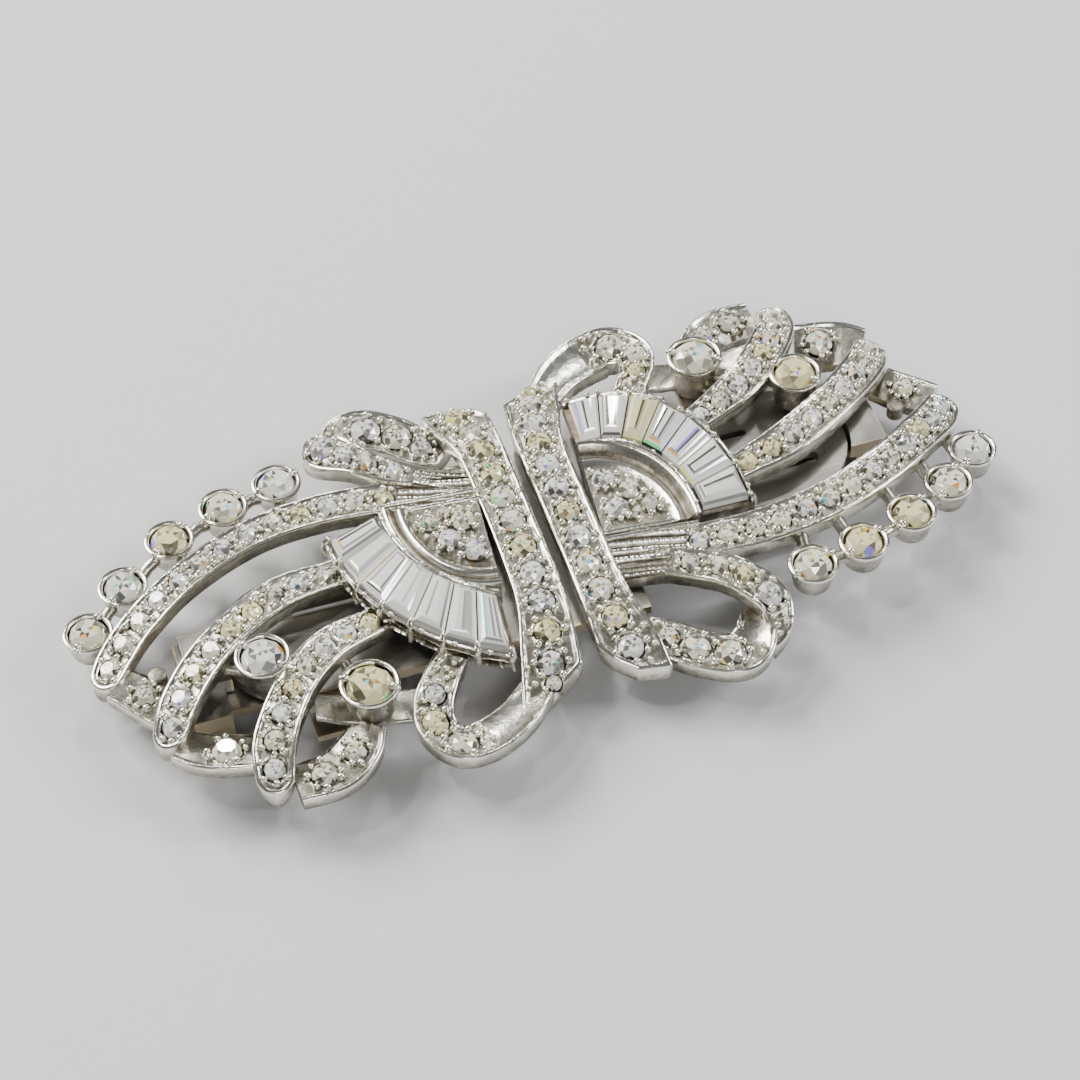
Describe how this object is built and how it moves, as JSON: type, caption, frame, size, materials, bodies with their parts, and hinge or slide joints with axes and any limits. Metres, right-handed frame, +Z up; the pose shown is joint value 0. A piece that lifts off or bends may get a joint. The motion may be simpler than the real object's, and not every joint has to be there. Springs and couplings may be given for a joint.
{
  "type": "double dress clip",
  "caption": "Art Deco double dress clip: pierced paste-set scroll clips, one the half turn of the other, with sprung levers, sliding on a shared brooch frame.",
  "frame": {"origin": "middle of the seam between the two clips, on the plane the brooch lies on", "axes": "+X along the brooch towards the right clip, +Y across it, +Z up out of its stones"},
  "size_m": [0.0766, 0.0398, 0.0084],
  "materials": {
    "casting": "worn bright silver-coloured plate, grey-brown in the recesses",
    "paste_stones": "cut and polished foiled paste",
    "plate": "satin nickel plate, brassy at its edges"
  },
  "bodies": {
    "frame": {"brooch_frame": "plate", "brooch_pin": "plate"},
    "clip_right": {"clip_casting_right": "casting", "seam_band_stones_right": "paste_stones", "half_dome_stones_right": "paste_stones", "fan_baguettes_right": "paste_stones", "outer_ray_stones_right": "paste_stones", "middle_ray_stones_right": "paste_stones", "inner_ray_stones_right": "paste_stones", "scallop_stones_right": "paste_stones", "fold_stones_right": "paste_stones", "loop_stones_right": "paste_stones", "collet_chain_stones_right": "paste_stones", "inner_collet_stone_right": "paste_stones", "outer_collet_stone_right": "paste_stones", "hinge_bracket_right": "plate", "hinge_pin_right": "plate", "guide_strip_right": "plate"},
    "lever_right": {"clip_lever_right": "plate"},
    "clip_left": {"clip_casting_left": "casting", "seam_band_stones_left": "paste_stones", "half_dome_stones_left": "paste_stones", "fan_baguettes_left": "paste_stones", "outer_ray_stones_left": "paste_stones", "middle_ray_stones_left": "paste_stones", "inner_ray_stones_left": "paste_stones", "scallop_stones_left": "paste_stones", "fold_stones_left": "paste_stones", "loop_stones_left": "paste_stones", "collet_chain_stones_left": "paste_stones", "inner_collet_stone_left": "paste_stones", "outer_collet_stone_left": "paste_stones", "hinge_bracket_left": "plate", "hinge_pin_left": "plate", "guide_strip_left": "plate"},
    "lever_left": {"clip_lever_left": "plate"}
  },
  "joints": [
    {"name": "clip_slide_right", "type": "slide", "parent": "frame", "child": "clip_right", "axis": [1, 0, 0], "range_m": [0, 0.026]},
    {"name": "clip_slide_left", "type": "slide", "parent": "frame", "child": "clip_left", "axis": [-1, 0, 0], "range_m": [0, 0.026]},
    {"name": "lever_hinge_right", "type": "hinge", "parent": "clip_right", "child": "lever_right", "pos_m": [0.02886, 0.005, 0.0015], "axis": [0, -1, 0], "range_deg": [0, 35], "stiffness_Nm_per_rad": 0.05, "springref_deg": -34.38},
    {"name": "lever_hinge_left", "type": "hinge", "parent": "clip_left", "child": "lever_left", "pos_m": [-0.02886, -0.005, 0.0015], "axis": [0, 1, 0], "range_deg": [0, 35], "stiffness_Nm_per_rad": 0.05, "springref_deg": -34.38}
  ]
}
